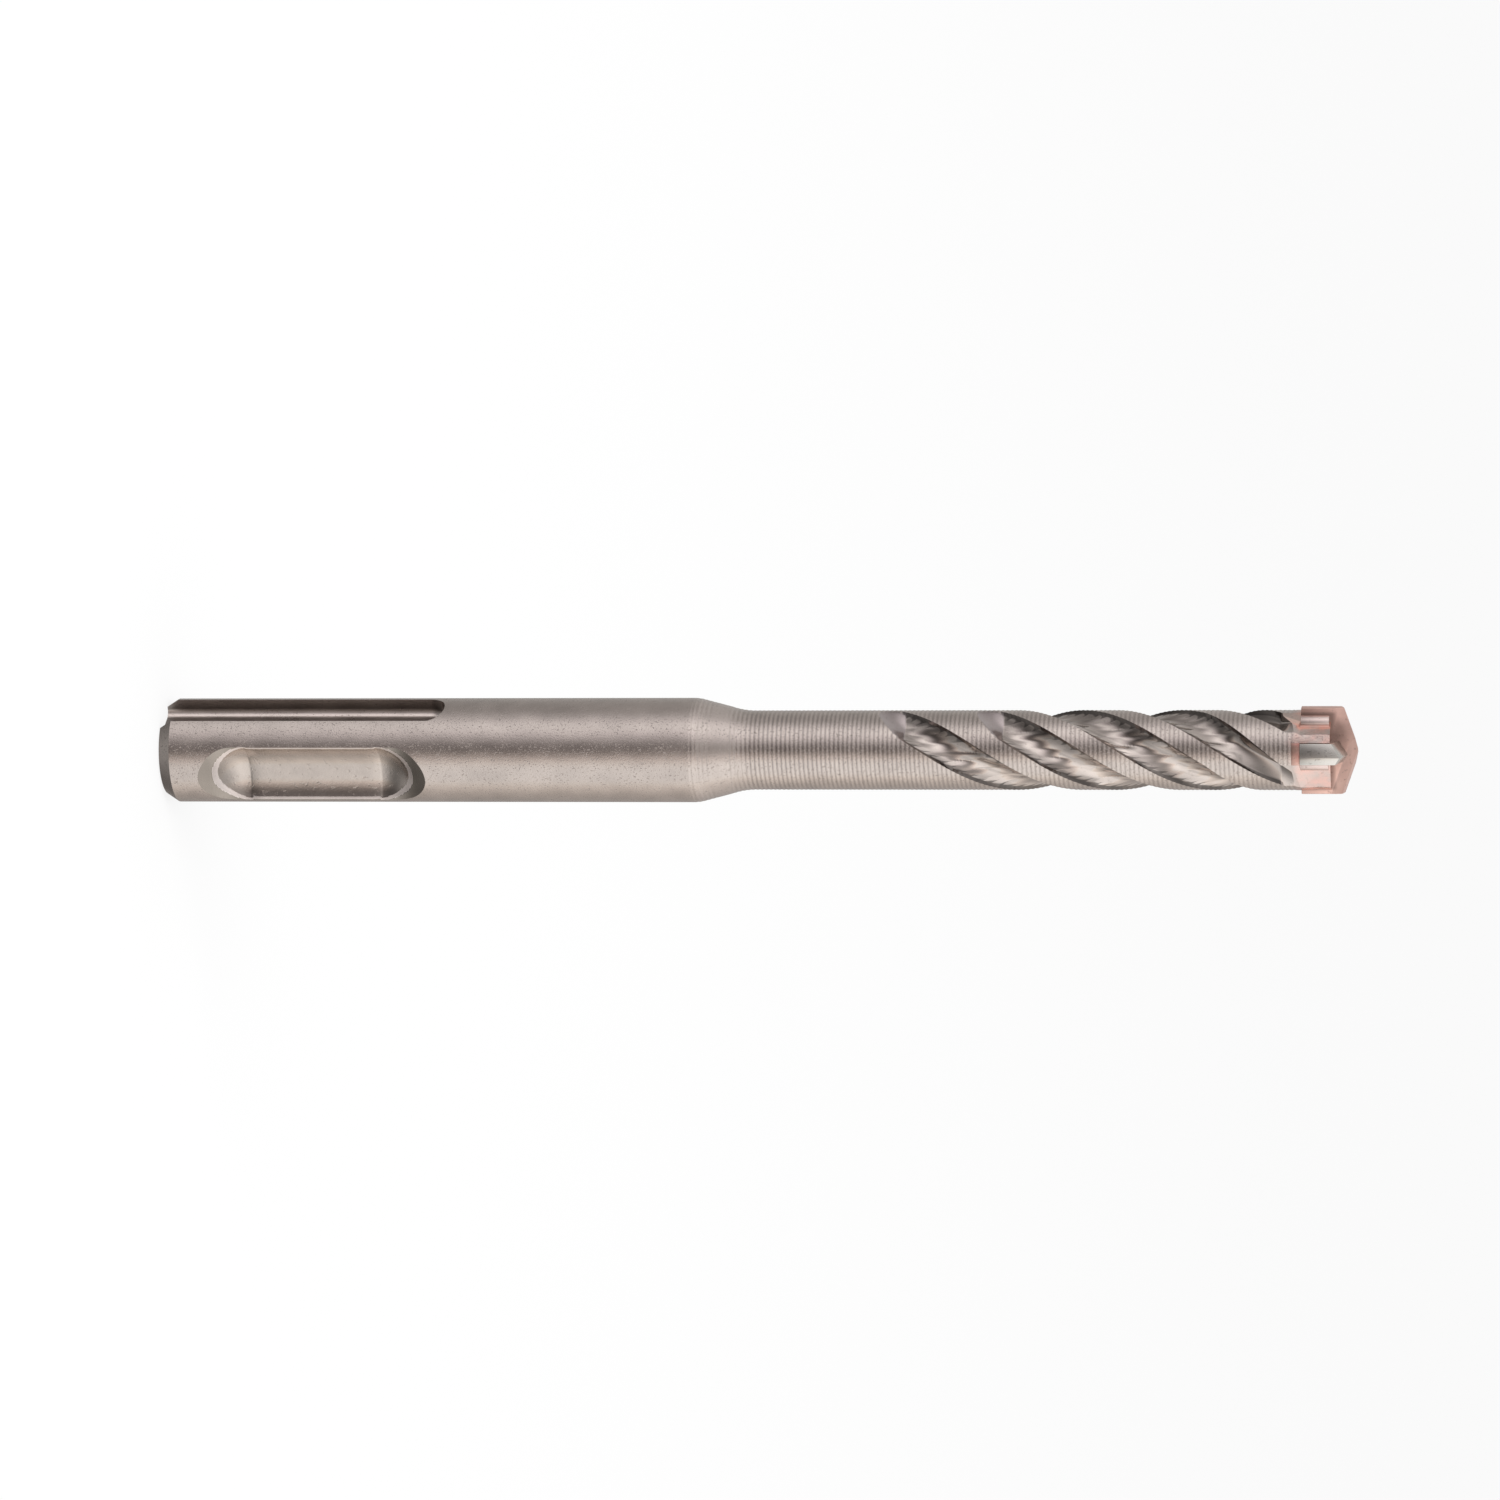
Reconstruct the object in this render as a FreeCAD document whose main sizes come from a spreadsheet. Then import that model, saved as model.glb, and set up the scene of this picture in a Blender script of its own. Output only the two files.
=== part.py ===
# Masonry drill bit with a slotted 10 mm hammer shank and a brazed four-edge carbide head.
# The rear striking face lies on the XY plane, +Z runs along the axis to the tip, and the
# drive grooves open towards +X and -X.
import FreeCAD, Part
import Sketcher
import math
import os
import re

os.makedirs("parts", exist_ok=True)
doc = FreeCAD.newDocument("hammer_drill_bit")

# Driving sizes, in millimetres and degrees.
SIZES = {
    # Whole bit
    "overall_length": 115.0,
    # Shank: plain round bar with a chamfered striking end
    "shank_diameter": 10.0,
    "shank_length": 52.2,
    "end_chamfer_length": 1.15,
    "end_chamfer_depth": 0.75,
    # Taper down to the neck
    "taper_length": 4.5,
    "taper_start_round": 3.5,
    "taper_end_round": 7.0,
    "neck_diameter": 7.6,
    # Drive grooves: straight slots that run out of the striking end
    "drive_groove_width": 3.6,
    "drive_groove_floor": 3.0,
    "drive_groove_length": 27.8,
    "drive_groove_corner": 0.35,
    # Locking recesses: closed pockets with ball ends, on a flat with ramped ends
    "recess_start": 3.83,
    "recess_end": 26.14,
    "recess_width": 6.12,
    "recess_ramp_angle": 25.0,
    "recess_rear_ball_inset": 4.88,
    "recess_front_ball_inset": 4.88,
    "recess_ball_radius": 4.4,
    "recess_channel_radius": 4.25,
    "recess_channel_floor": 2.8,
    # Flutes: four right-hand helical channels. The first pair starts this far past the taper and
    # the second a stagger further on, and all end this far behind the jaws.
    "flute_lead": 37.5,
    "flute_start": 13.6,
    "flute_stagger": 9.4,
    "flute_end": 4.3,
    "flute_end_angle": 27.1,
    "flute_width": 6.14,
    "flute_floor_width": 4.6,
    "flute_floor": 2.75,
    "flute_shoulder": 3.0,
    "flute_start_runout": 3.3,
    "flute_end_runout": 2.4,
    "flute_runout_lap": 0.1,
    "flute_runout_step": 0.03,
    # Head: steel jaws round a crossed pair of slots, set back from the tip
    "head_angle": 151.5,
    "tip_height": 2.5,
    "slot_depth": 2.8,
    "braze_depth": 0.8,
    "braze_gap": 0.05,
    "gullet_corner": 2.8,
    "gullet_wall_angle": 23.5,
    "gullet_runout_length": 3.0,
    "gullet_runout_rise": 1.0,
    # Carbide cutters
    "cutter_thickness": 2.0,
    "main_cutter_diameter": 8.3,
    "point_angle": 141.0,
    "main_flank_angle": 15.0,
    "main_heel_angle": 50.0,
    "main_land": 0.9,
    "main_rake_depth": 0.3,
    "main_rake_height": 0.9,
    "side_cutter_diameter": 8.2,
    "side_setback": 0.8,
    "side_point_angle": 156.0,
    "side_flank_angle": 15.0,
    "side_heel_angle": 32.0,
    "side_land": 0.1,
    "side_rake_depth": 0.65,
    "side_rake_height": 0.43,
    "side_margin": 0.7,
    "side_relief": 0.1,
    # Braze fillets in the corners ahead of the cutters
    "braze_fillet": 0.6,
    "braze_fillet_round": 0.7,
    "braze_fillet_inset": 0.15,
}

sheet = doc.addObject("Spreadsheet::Sheet", "Sizes")
for row, (alias, number) in enumerate(SIZES.items(), start=1):
    sheet.set("A%d" % row, alias)
    sheet.set("B%d" % row, str(number))
    sheet.setAlias("B%d" % row, alias)
doc.recompute()

# Places along the axis that several pieces share.
JAW_FRONT = "(overall_length - tip_height)"
CUTTER_SEAT = "(overall_length - tip_height - slot_depth)"
FLUTE_START = "(shank_length + taper_length + flute_start)"
FLUTE_END = "(overall_length - tip_height - flute_end)"

# A run-out climbs this many times the flute's depth, so that it ends clear of the metal, and is
# lofted through this many stretches.
CLIMB_OUT = 1.1
RUNOUT_STRETCHES = 4


def linked(text):
    """An expression with each size name pointed at its cell."""
    def cell(match):
        word = match.group()
        return "Sizes." + word if word in SIZES else word
    return re.sub(r"[a-z][a-z_]+", cell, text)


def value(text):
    """The number that an expression of size names gives."""
    return float(sheet.evalExpression(linked(text)))


def bind(item, prop, text):
    """Tie one property of an object to an expression of size names."""
    item.setExpression(prop, linked(text))


def new_body(label):
    body = doc.addObject("PartDesign::Body", label)
    body.Label = label
    return body


def origin_item(body, role):
    for item in body.Origin.OriginFeatures:
        if item.Role == role:
            return item
    raise ValueError(role)


def new_sketch(body, name, plane, offset=None, turn=None, turn_axis=(0, 0, 1)):
    """A sketch on one origin plane, shifted by offset and turned about turn_axis in that plane's axes."""
    sketch = body.newObject("Sketcher::SketchObject", name)
    sketch.AttachmentSupport = [(origin_item(body, plane), "")]
    sketch.MapMode = "FlatFace"
    angle = value(turn) if turn else 0.0
    rotation = FreeCAD.Rotation(FreeCAD.Vector(*turn_axis), angle)
    sketch.AttachmentOffset = FreeCAD.Placement(FreeCAD.Vector(0, 0, 0), rotation)
    for axis, text in (offset or {}).items():
        bind(sketch, ".AttachmentOffset.Base." + axis, text)
    if turn:
        bind(sketch, ".AttachmentOffset.Rotation.Angle", turn)
    return sketch


def arc_between(start, end, radius, side):
    """Minor arc from start to end; side +1 has its centre to the left of the way, -1 to the right."""
    chord = end - start
    half = chord.Length / 2
    normal = FreeCAD.Vector(-chord.y, chord.x, 0).normalize()
    centre = (start + end) / 2 + normal * (side * math.sqrt(max(radius ** 2 - half ** 2, 0)))
    first, last = (start, end) if side > 0 else (end, start)
    begin = math.atan2(first.y - centre.y, first.x - centre.x)
    finish = math.atan2(last.y - centre.y, last.x - centre.x)
    if finish < begin:
        finish += 2 * math.pi
    circle = Part.Circle(centre, FreeCAD.Vector(0, 0, 1), radius)
    return Part.ArcOfCircle(circle, begin, finish)


def draw_outline(sketch, points, arcs=None):
    """A closed outline through points, given as pairs of expressions.

    arcs maps the number of a side to its radius and the side that its centre is on."""
    arcs = arcs or {}
    spots = [FreeCAD.Vector(value(across), value(up), 0) for across, up in points]
    count = len(points)
    ends = []
    for index in range(count):
        start, end = spots[index], spots[(index + 1) % count]
        if index in arcs:
            radius, side = arcs[index]
            edge = sketch.addGeometry(arc_between(start, end, value(radius), side), False)
            ends.append((edge, 1, 2) if side > 0 else (edge, 2, 1))
        else:
            edge = sketch.addGeometry(Part.LineSegment(start, end), False)
            ends.append((edge, 1, 2))
    for index in range(count):
        edge, _, last = ends[index]
        following, first, _ = ends[(index + 1) % count]
        sketch.addConstraint(Sketcher.Constraint("Coincident", edge, last, following, first))
    for index, (across, up) in enumerate(points):
        edge, first, _ = ends[index]
        for kind, text in (("DistanceX", across), ("DistanceY", up)):
            number = sketch.addConstraint(Sketcher.Constraint(kind, -1, 1, edge, first, value(text)))
            bind(sketch, "Constraints[%d]" % number, text)
    for index, (radius, _) in arcs.items():
        number = sketch.addConstraint(Sketcher.Constraint("Radius", ends[index][0], value(radius)))
        bind(sketch, "Constraints[%d]" % number, radius)


def pad(body, name, sketch, length):
    feature = body.newObject("PartDesign::Pad", name)
    feature.Profile = sketch
    bind(feature, "Length", length)
    return feature


def pocket(body, name, sketch, length, both_ways=False, outward=False):
    """A cut against the sketch's normal, along it with outward, or half each way."""
    feature = body.newObject("PartDesign::Pocket", name)
    feature.Profile = sketch
    feature.SideType = "Symmetric" if both_ways else "One side"
    feature.Reversed = outward
    bind(feature, "Length", length)
    return feature


def around_axis(body, name, features, copies):
    """Copies of features spaced evenly about the Z axis."""
    pattern = body.newObject("PartDesign::PolarPattern", name)
    pattern.Originals = features
    pattern.Axis = (origin_item(body, "Z_Axis"), [""])
    pattern.Angle = 360
    pattern.Occurrences = copies
    body.Tip = pattern
    return pattern


def dress_edges(body, kind, name, size, test):
    """A fillet or chamfer on every edge of the body so far that passes the test."""
    base = body.Tip
    names = ["Edge%d" % (number + 1) for number, edge in enumerate(base.Shape.Edges) if test(edge)]
    feature = body.newObject(kind, name)
    feature.Base = (base, names)
    bind(feature, "Radius" if kind.endswith("Fillet") else "Size", size)
    doc.recompute()


def is_ring(edge, radius, height):
    """True for a full circle about the Z axis."""
    if not isinstance(edge.Curve, Part.Circle):
        return False
    centre = edge.Curve.Center
    on_axis = math.hypot(centre.x, centre.y) < 1e-6 and abs(centre.z - height) < 1e-6
    return on_axis and abs(edge.Curve.Radius - radius) < 1e-6


def turn_bar(body):
    """The turned blank: chamfered shank, taper, and the neck that the flutes are cut in."""
    shank = "shank_diameter / 2"
    neck = "neck_diameter / 2"
    profile = new_sketch(body, "bar_profile", "XZ_Plane")
    draw_outline(profile, [
        ("0", "0"),
        (shank + " - end_chamfer_depth", "0"),
        (shank, "end_chamfer_length"),
        (shank, "shank_length"),
        (neck, "shank_length + taper_length"),
        (neck, JAW_FRONT),
        ("0", JAW_FRONT),
    ])
    bar = body.newObject("PartDesign::Revolution", "bar")
    bar.Profile = profile
    bar.ReferenceAxis = (profile, ["V_Axis"])
    bar.Angle = 360
    doc.recompute()
    rings = (
        ("taper_start_round", shank, "shank_length"),
        ("taper_end_round", neck, "shank_length + taper_length"),
    )
    for size, radius, height in rings:
        name = size.replace("_round", "_blend")
        dress_edges(
            body, "PartDesign::Fillet", name, size,
            lambda edge: is_ring(edge, value(radius), value(height)),
        )


def cut_drive_grooves(body):
    """Two straight slots, open at the striking end and rounded at the other, on +X and -X."""
    half = "drive_groove_width / 2"
    straight = "drive_groove_length - drive_groove_width / 2"
    outline = new_sketch(body, "drive_groove_outline", "YZ_Plane", {"z": "drive_groove_floor"})
    draw_outline(outline, [
        ("-" + half, "-end_chamfer_length"),
        (half, "-end_chamfer_length"),
        (half, straight),
        ("0", "drive_groove_length"),
        ("-" + half, straight),
    ], {2: (half, 1), 3: (half, 1)})
    slot = pocket(body, "drive_groove", outline, "shank_diameter / 2", outward=True)
    around_axis(body, "drive_grooves", [slot], 2)
    doc.recompute()
    floor = value("drive_groove_floor")

    def is_floor_edge(edge):
        box = edge.BoundBox
        flat = abs(abs(box.XMin) - floor) < 1e-6 and abs(box.XMin - box.XMax) < 1e-6
        return flat and box.ZMax > 1.0
    dress_edges(body, "PartDesign::Fillet", "drive_groove_corners", "drive_groove_corner", is_floor_edge)


def cut_locking_recesses(body):
    """Two closed pockets for the locking balls, on +Y and -Y, each on a flat with ramped ends."""
    shank = "shank_diameter / 2"
    flat = "sqrt((shank_diameter / 2)^2 - (recess_width / 2)^2)"
    ramp = "tan(recess_ramp_angle)"
    outer = "-shank_diameter"
    level = new_sketch(body, "recess_flat_outline", "YZ_Plane")
    draw_outline(level, [
        (outer, "recess_start - %s / %s" % (shank, ramp)),
        ("-" + flat, "recess_start + (%s - %s) / %s" % (shank, flat, ramp)),
        ("-" + flat, "recess_end - (%s - %s) / %s" % (shank, flat, ramp)),
        (outer, "recess_end + %s / %s" % (shank, ramp)),
    ])
    flats = pocket(body, "recess_flat", level, "shank_diameter", both_ways=True)
    first = "recess_start + recess_rear_ball_inset"
    last = "recess_end - recess_front_ball_inset"
    axis = "-(recess_channel_floor + recess_channel_radius)"
    step = "sqrt(recess_ball_radius^2 - recess_channel_radius^2)"
    capsule = new_sketch(body, "recess_pocket_outline", "YZ_Plane")
    draw_outline(capsule, [
        (axis, first + " - recess_ball_radius"),
        ("-recess_channel_floor", first + " + " + step),
        ("-recess_channel_floor", last + " - " + step),
        (axis, last + " + recess_ball_radius"),
    ], {0: ("recess_ball_radius", 1), 2: ("recess_ball_radius", 1)})
    low = FreeCAD.Vector(value(axis), value(first), 0)
    high = FreeCAD.Vector(value(axis), value(last), 0)
    spindle = capsule.addGeometry(Part.LineSegment(low, high), True)
    capsule.addConstraint(Sketcher.Constraint("PointOnObject", spindle, 1, 3))
    capsule.addConstraint(Sketcher.Constraint("PointOnObject", spindle, 2, 3))
    pocket_feature = body.newObject("PartDesign::Groove", "recess_pocket")
    pocket_feature.Profile = capsule
    pocket_feature.ReferenceAxis = (capsule, ["Axis0"])
    pocket_feature.Angle = 360
    around_axis(body, "locking_recesses", [flats, pocket_feature], 2)
    doc.recompute()


def flute_sketch(body, name, height, turn, lift="0"):
    """The flute's section in the plane through the axis at one height and turn, lifted off its floor."""
    sketch = new_sketch(body, name, "XZ_Plane", {"y": height}, turn, (0, 1, 0))
    neck = "neck_diameter / 2"
    depth = "(neck_diameter / 2 - flute_floor)"
    slope = "(flute_width - flute_floor_width) / 2 / (%s - flute_shoulder)" % neck
    outer = "%s + %s" % (neck, depth)
    mouth = "(flute_width / 2 + %s * %s)" % (depth, slope)
    sag = "(flute_shoulder - flute_floor)"
    floor_radius = "((flute_floor_width / 2)^2 + %s^2) / (2 * %s)" % (sag, sag)
    draw_outline(sketch, [
        ("flute_shoulder + " + lift, "-flute_floor_width / 2"),
        (outer + " + " + lift, "-" + mouth),
        (outer + " + " + lift, mouth),
        ("flute_shoulder + " + lift, "flute_floor_width / 2"),
    ], {3: (floor_radius, 1)})
    return sketch


def flute_helix(body, name, sketch, height):
    """A flute of full depth: its section carried up the bit on a right-hand helix."""
    feature = body.newObject("PartDesign::SubtractiveHelix", name)
    feature.Profile = sketch
    feature.ReferenceAxis = (sketch, ["V_Axis"])
    feature.Mode = "pitch-height-angle"
    bind(feature, "Pitch", "flute_lead")
    bind(feature, "Height", height)
    return feature


def flute_runout(body, name, height, turn, length):
    """The end of a flute: sections that follow the helix for a signed length and climb out of the metal."""
    sections = []
    for number in range(RUNOUT_STRETCHES + 1):
        along = "(%s) * %d / %d" % (length, number, RUNOUT_STRETCHES)
        climb = "%g * (neck_diameter / 2 - flute_floor) * %d / %d" % (CLIMB_OUT, number, RUNOUT_STRETCHES)
        sections.append(flute_sketch(
            body, "%s_section_%d" % (name, number), "%s + %s" % (height, along),
            "%s + 360 * %s / flute_lead" % (turn, along), "flute_runout_step + " + climb,
        ))
    feature = body.newObject("PartDesign::SubtractiveLoft", name)
    feature.Profile = sections[0]
    feature.Sections = sections[1:]
    feature.Ruled = True
    return feature


def cut_flutes(body):
    """Four helical flutes; opposite ones start together, and each fades out at both ends."""
    starts = (
        ("long", FLUTE_START, "0"),
        ("short", FLUTE_START + " + flute_stagger", "90"),
    )
    for kind, base, phase in starts:
        length = "(%s - (%s))" % (FLUTE_END, base)
        turn = "head_angle + flute_end_angle + %s - 360 * %s / flute_lead" % (phase, length)
        section = flute_sketch(body, kind + "_flute_section", base, turn)
        main = flute_helix(body, kind + "_flute", section, length)
        fade = flute_runout(
            body, kind + "_flute_start", base + " + flute_runout_lap",
            turn + " + 360 * flute_runout_lap / flute_lead", "-(flute_start_runout + flute_runout_lap)",
        )
        around_axis(body, kind + "_flutes", [main, fade], 2)
        doc.recompute()
    fade = flute_runout(
        body, "flute_end", FLUTE_END + " - flute_runout_lap",
        "head_angle + flute_end_angle - 360 * flute_runout_lap / flute_lead",
        "flute_end_runout + flute_runout_lap",
    )
    around_axis(body, "flute_ends", [fade], 4)
    doc.recompute()


def gullet_points(shift):
    """The corner ahead of a cutter: the open side lies along the cutter's leading face."""
    face = "cutter_thickness / 2 + braze_gap"
    corner = "gullet_corner + " + shift
    reach = "neck_diameter / 2"
    return [
        (corner, face),
        (corner + " + " + reach, face),
        (corner + " + " + reach, face + " + " + reach),
        (corner + " - %s * tan(gullet_wall_angle)" % reach, face + " + " + reach),
    ]


def cut_head(body):
    """Crossed slots for the cutters, and a gullet ahead of each of the four edges."""
    wall = "cutter_thickness / 2 + braze_gap"
    reach = "main_cutter_diameter"
    seats = (
        ("main_slot", CUTTER_SEAT, "head_angle"),
        ("side_slot", CUTTER_SEAT + " - braze_depth", "head_angle + 90"),
    )
    for name, height, turn in seats:
        outline = new_sketch(body, name + "_outline", "XY_Plane", {"z": height}, turn)
        draw_outline(outline, [
            ("-" + reach, "-(%s)" % wall),
            (reach, "-(%s)" % wall),
            (reach, wall),
            ("-" + reach, wall),
        ])
        pocket(body, name, outline, "overall_length - (%s)" % height, outward=True)
    doc.recompute()
    front = new_sketch(body, "gullet_outline", "XY_Plane", {"z": CUTTER_SEAT}, "head_angle")
    draw_outline(front, gullet_points("0"))
    straight = pocket(body, "gullet", front, "tip_height + slot_depth", outward=True)
    near = new_sketch(body, "gullet_fade_front", "XY_Plane", {"z": CUTTER_SEAT}, "head_angle")
    draw_outline(near, gullet_points("0"))
    rear_height = {"z": CUTTER_SEAT + " - gullet_runout_length"}
    far = new_sketch(body, "gullet_fade_rear", "XY_Plane", rear_height, "head_angle")
    draw_outline(far, gullet_points("gullet_runout_rise"))
    fade = body.newObject("PartDesign::SubtractiveLoft", "gullet_fade")
    fade.Profile = near
    fade.Sections = [far]
    fade.Ruled = True
    around_axis(body, "gullets", [straight, fade], 4)
    doc.recompute()


def make_steel_body():
    body = new_body("steel_body")
    turn_bar(body)
    cut_drive_grooves(body)
    cut_locking_recesses(body)
    cut_flutes(body)
    cut_head(body)
    return body


def place_in_head(body, turn, height):
    """Turn a piece about the bit's axis and lift it to its seat."""
    spin = FreeCAD.Rotation(FreeCAD.Vector(0, 0, 1), value(turn))
    body.Placement = FreeCAD.Placement(FreeCAD.Vector(0, 0, 0), spin)
    bind(body, ".Placement.Base.z", height)
    bind(body, ".Placement.Rotation.Angle", turn)


def grind_edge(body, prefix, point_angle, peak, copies):
    """Grind the front of a cutter: rake bevel, narrow land and steep heel behind the edge.

    The section is drawn square to the edge, with its origin at the given height on the axis."""
    slope = "(180 - %s) / 2" % point_angle
    half = "cutter_thickness / 2"
    edge = "(%s - %s_rake_depth)" % (half, prefix)
    edge_height = "%s * tan(%s_flank_angle)" % (edge, prefix)
    heel = "(%s - %s_land)" % (edge, prefix)
    heel_height = "%s * tan(%s_flank_angle)" % (heel, prefix)
    back = "cutter_thickness"
    section = new_sketch(body, "edge_section", "YZ_Plane", {"y": peak}, slope, (1, 0, 0))
    draw_outline(section, [
        (back, "%s - %s_rake_height" % (edge_height, prefix)),
        (half, "%s - %s_rake_height" % (edge_height, prefix)),
        (edge, edge_height),
        (heel, heel_height),
        ("-" + back, "%s - (%s + %s) * tan(%s_heel_angle)" % (heel_height, heel, back, prefix)),
        ("-" + back, "main_cutter_diameter"),
        (back, "main_cutter_diameter"),
    ][::-1])
    ground = pocket(body, "ground_edge", section, "3 * main_cutter_diameter", both_ways=True)
    if copies > 1:
        around_axis(body, "ground_edges", [ground], copies)
    doc.recompute()


def make_main_cutter():
    """Full-width carbide plate with a chisel point, standing proud of the jaws."""
    body = new_body("main_cutter")
    half = "cutter_thickness / 2"
    side = "sqrt((main_cutter_diameter / 2)^2 - (%s)^2)" % half
    plan = new_sketch(body, "plate_plan", "XY_Plane")
    draw_outline(plan, [
        ("-" + side, "-" + half),
        (side, "-" + half),
        (side, half),
        ("-" + side, half),
    ], {1: ("main_cutter_diameter / 2", 1), 3: ("main_cutter_diameter / 2", 1)})
    peak = "tip_height + slot_depth"
    pad(body, "plate", plan, peak + " + " + half)
    grind_edge(body, "main", "point_angle", peak, 2)
    place_in_head(body, "head_angle", CUTTER_SEAT)
    return body


def make_side_cutter(number, turn):
    """Half-width carbide insert that butts against the main plate, turned from it in degrees."""
    body = new_body("side_cutter_%d" % number)
    half = "cutter_thickness / 2"
    radius = "side_cutter_diameter / 2"
    inner = "cutter_thickness / 2 + braze_gap"
    margin = "(%s - side_margin)" % half
    plan = new_sketch(body, "insert_plan", "XY_Plane")
    draw_outline(plan, [
        (inner, "-" + half),
        ("sqrt((%s)^2 - (%s)^2) - side_relief" % (radius, half), "-" + half),
        ("sqrt((%s)^2 - %s^2)" % (radius, margin), margin),
        ("sqrt((%s)^2 - (%s)^2)" % (radius, half), half),
        (inner, half),
    ], {2: (radius, 1)})
    pad(body, "insert", plan, "tip_height + slot_depth")
    grind_edge(body, "side", "side_point_angle", "tip_height + slot_depth - side_setback", 1)
    place_in_head(body, "head_angle + %d" % turn, CUTTER_SEAT)
    return body


def make_braze_seat():
    """Braze metal that fills the bottom of the cross slot, under the cutters."""
    body = new_body("braze_seat")
    wall = "cutter_thickness / 2 + braze_gap"
    end = "sqrt((neck_diameter / 2)^2 - (%s)^2)" % wall
    plan = new_sketch(body, "seat_plan", "XY_Plane")
    draw_outline(plan, [
        ("-" + end, "-(%s)" % wall),
        (end, "-(%s)" % wall),
        (end, wall),
        ("-" + end, wall),
    ], {1: ("neck_diameter / 2", 1), 3: ("neck_diameter / 2", 1)})
    pad(body, "seat", plan, "braze_depth")
    place_in_head(body, "head_angle + 90", CUTTER_SEAT + " - braze_depth")
    return body


def make_braze_fillet(number, turn):
    """Bead of braze in the corner between a cutter's leading face and its gullet."""
    body = new_body("braze_fillet_%d" % number)
    face = "cutter_thickness / 2"
    wall = "cutter_thickness / 2 + braze_gap"
    plan = new_sketch(body, "bead_plan", "XY_Plane")
    draw_outline(plan, [
        ("gullet_corner", face),
        ("gullet_corner + braze_fillet", face),
        (
            "gullet_corner - braze_fillet * sin(gullet_wall_angle)",
            wall + " + braze_fillet * cos(gullet_wall_angle)",
        ),
        ("gullet_corner", wall),
    ], {1: ("braze_fillet_round", 1)})
    pad(body, "bead", plan, "slot_depth - braze_fillet_inset")
    place_in_head(body, "head_angle + %d" % turn, CUTTER_SEAT)
    return body


pieces = [make_steel_body(), make_main_cutter()]
pieces += [make_side_cutter(number, turn) for number, turn in ((1, 90), (2, 270))]
pieces.append(make_braze_seat())
pieces += [make_braze_fillet(number + 1, turn) for number, turn in enumerate((0, 90, 180, 270))]
doc.recompute()

for item in doc.Objects:
    if "Invalid" in item.State or "Error" in item.State:
        raise RuntimeError("%s failed: %s" % (item.Label, item.State))
for piece in pieces:
    shape = piece.Shape
    if shape.isNull() or not shape.isValid() or shape.Volume <= 0:
        raise RuntimeError("%s has no valid solid" % piece.Label)

for piece in pieces:
    piece.Shape.exportStep("parts/%s.step" % piece.Label)
    print("%s: %.2f mm3, %d faces" % (piece.Label, piece.Shape.Volume, len(piece.Shape.Faces)))
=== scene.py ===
import math

import bmesh
import bpy
from mathutils import Matrix, Vector


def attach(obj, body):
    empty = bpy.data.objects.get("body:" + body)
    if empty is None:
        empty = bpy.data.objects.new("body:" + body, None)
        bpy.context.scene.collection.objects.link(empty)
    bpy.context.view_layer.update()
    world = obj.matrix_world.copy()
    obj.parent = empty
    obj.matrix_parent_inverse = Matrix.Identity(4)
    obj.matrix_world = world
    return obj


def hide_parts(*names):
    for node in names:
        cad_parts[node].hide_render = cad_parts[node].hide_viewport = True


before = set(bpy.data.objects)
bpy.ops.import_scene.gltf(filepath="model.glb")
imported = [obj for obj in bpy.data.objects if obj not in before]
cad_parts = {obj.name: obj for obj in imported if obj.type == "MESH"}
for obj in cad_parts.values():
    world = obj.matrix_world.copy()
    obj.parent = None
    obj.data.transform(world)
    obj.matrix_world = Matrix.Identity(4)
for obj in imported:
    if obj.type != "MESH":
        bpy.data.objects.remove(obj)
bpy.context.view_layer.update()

# Camera: the bit stands on its striking face, and the picture shows it lying on its side, so the
# camera is rolled to put the tip at the right. It stands a little towards the tip's side.
MM = 0.001
VIEW_TURN = math.radians(235)
VIEW_RISE = math.radians(8.6)
VIEW_DISTANCE = 590 * MM
VIEW_CENTRE = Vector((0, 0, 57.0 * MM))
LENS = 148.0
SENSOR = 36.0
CLIP_NEAR = 0.01
CLIP_FAR = 100.0

to_camera = Vector((
    math.cos(VIEW_TURN) * math.cos(VIEW_RISE),
    math.sin(VIEW_TURN) * math.cos(VIEW_RISE),
    math.sin(VIEW_RISE),
))
picture_right = (Vector((0, 0, 1)) - to_camera * to_camera.z).normalized()
picture_up = to_camera.cross(picture_right)
camera = bpy.data.objects.new("camera", bpy.data.cameras.new("camera"))
bpy.context.scene.collection.objects.link(camera)
bpy.context.scene.camera = camera
camera.matrix_world = Matrix.Translation(VIEW_CENTRE + to_camera * VIEW_DISTANCE) @ Matrix(
    (picture_right, picture_up, to_camera)).transposed().to_4x4()
camera.data.sensor_width = SENSOR
camera.data.lens = LENS
camera.data.clip_start = CLIP_NEAR
camera.data.clip_end = CLIP_FAR
bpy.context.scene.view_settings.view_transform = "Standard"

# Studio: a pale floor that runs far behind the bit, and a soft sky. The sky that the metal
# reflects is two wide soft boxes, one each side of a dark strip where the camera stands.
WHITE = (1, 1, 1, 1)
FLOOR_REACH = 30.0
FLOOR_COLOUR = (0.86, 0.86, 0.86, 1)
FLOOR_WHITENESS = 0.8
SKY_COLOUR = (0.9, 0.9, 0.9, 1)
LAMP_SIZE = 0.8
LAMP_POWER = 6.0
LAMP_PLACE = (-0.5, -0.3, 1.1)
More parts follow.
